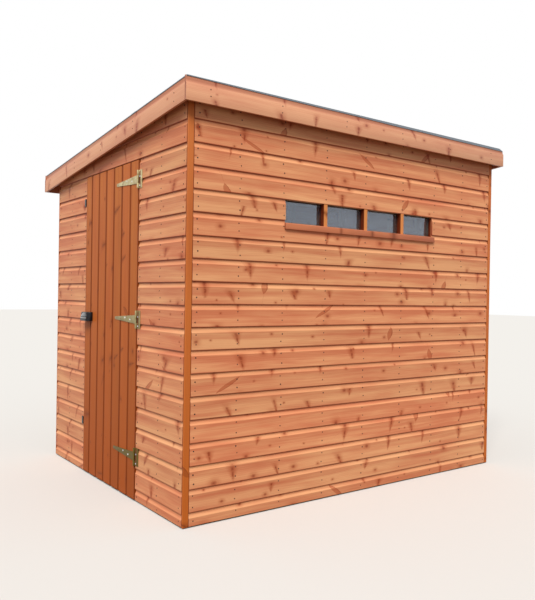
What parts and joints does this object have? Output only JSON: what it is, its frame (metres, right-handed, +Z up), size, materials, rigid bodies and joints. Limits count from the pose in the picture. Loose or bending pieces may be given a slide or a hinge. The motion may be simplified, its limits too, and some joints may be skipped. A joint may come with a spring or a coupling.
{
  "type": "pent-roofed wooden garden shed",
  "caption": "Small garden shed with shiplap walls, a lean-to felted roof, a hinged ledged and braced door in one end and a narrow window strip high in the front wall.",
  "frame": {"origin": "on the ground under the middle of the roof's outline", "axes": "+Z up, +X along the window wall away from the door end, -Y out of the window wall"},
  "size_m": [2.478, 2.04, 2.1609],
  "materials": {
    "bearer_wood": "rough sawn, treated",
    "floor_wood": "planed boards",
    "post_wood": "planed, honey stain",
    "frame_wood": "planed, plain",
    "cladding_wood": "planed, honey stain",
    "sill_wood": "planed, honey stain",
    "window_wood": "planed, honey stain",
    "window_glass": "clear",
    "deck_wood": "sheathing boards",
    "roof_felt": "mineral felt, matte",
    "fascia_wood": "planed, honey stain",
    "zinc_steel": "yellow zinc",
    "black_plastic": "black, glossy",
    "door_wood": "planed, honey stain"
  },
  "bodies": {
    "shed": {"floor_bearers": "bearer_wood", "floor_deck": "floor_wood", "corner_posts": "post_wood", "front_studs": "frame_wood", "front_rails": "frame_wood", "back_studs": "frame_wood", "back_rails": "frame_wood", "door_wall_studs": "frame_wood", "door_wall_rails": "frame_wood", "far_wall_studs": "frame_wood", "far_wall_rails": "frame_wood", "front_cladding_lower": "cladding_wood", "front_cladding_left": "cladding_wood", "front_cladding_right": "cladding_wood", "front_cladding_upper": "cladding_wood", "back_cladding": "cladding_wood", "door_wall_cladding_near": "cladding_wood", "door_wall_cladding_far": "cladding_wood", "door_wall_cladding_over": "cladding_wood", "far_wall_cladding": "cladding_wood", "window_sill": "sill_wood", "window_mullions": "window_wood", "window_beads": "window_wood", "window_panes": "window_glass", "purlins": "frame_wood", "roof_deck": "deck_wood", "eaves_battens": "frame_wood", "verge_battens": "frame_wood", "roof_felt": "roof_felt", "front_fascia": "fascia_wood", "back_fascia": "fascia_wood", "door_side_fascia": "fascia_wood", "far_side_fascia": "fascia_wood", "hinge_plates": "zinc_steel", "latch_keeps": "black_plastic"},
    "door": {"door_boards": "door_wood", "door_ledges": "frame_wood", "door_braces": "frame_wood", "hinge_straps": "zinc_steel", "door_handle": "black_plastic"}
  },
  "joints": [
    {"name": "door_hinge", "type": "hinge", "parent": "shed", "child": "door", "pos_m": [-1.202, -0.4325, 0], "axis": [0, 0, 1], "range_deg": [0, 165]}
  ]
}
